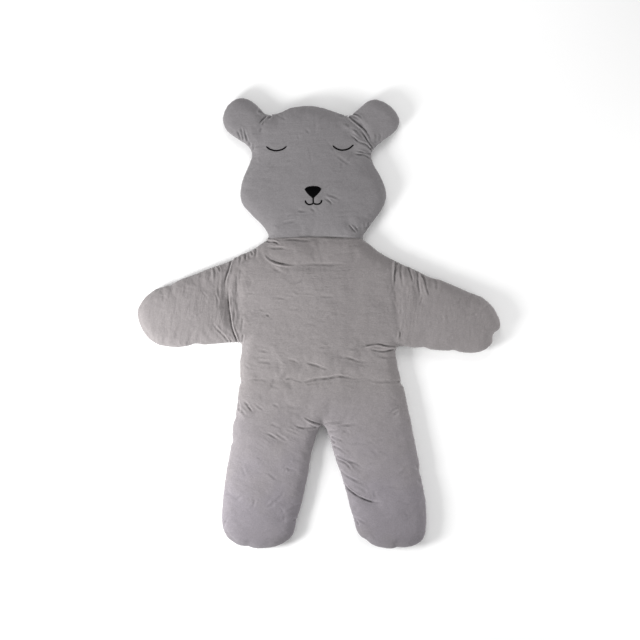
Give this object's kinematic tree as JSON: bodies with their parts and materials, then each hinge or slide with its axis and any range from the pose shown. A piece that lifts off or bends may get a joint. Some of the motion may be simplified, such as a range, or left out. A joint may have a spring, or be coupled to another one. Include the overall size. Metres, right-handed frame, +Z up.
{
  "type": "bear shaped padded floor rug",
  "caption": "Filled jersey floor rug in the shape of a bear lying on its back, with round ears, outstretched arms and legs and a small embroidered sleeping face.",
  "frame": {"origin": "on the floor, below the middle of the whole rug's box", "axes": "+Y from the feet to the top of the head, +Z up out of the face, +X to the right as seen from above"},
  "size_m": [1.2078, 1.4994, 0.0728],
  "materials": {
    "cloth": "matt warm grey cotton jersey, faintly flecked",
    "thread": "black embroidery thread with a slight sheen"
  },
  "bodies": {
    "root": {"head": "cloth", "body": "cloth", "eye_left": "thread", "eye_right": "thread", "nose": "thread", "mouth": "thread"}
  },
  "joints": []
}
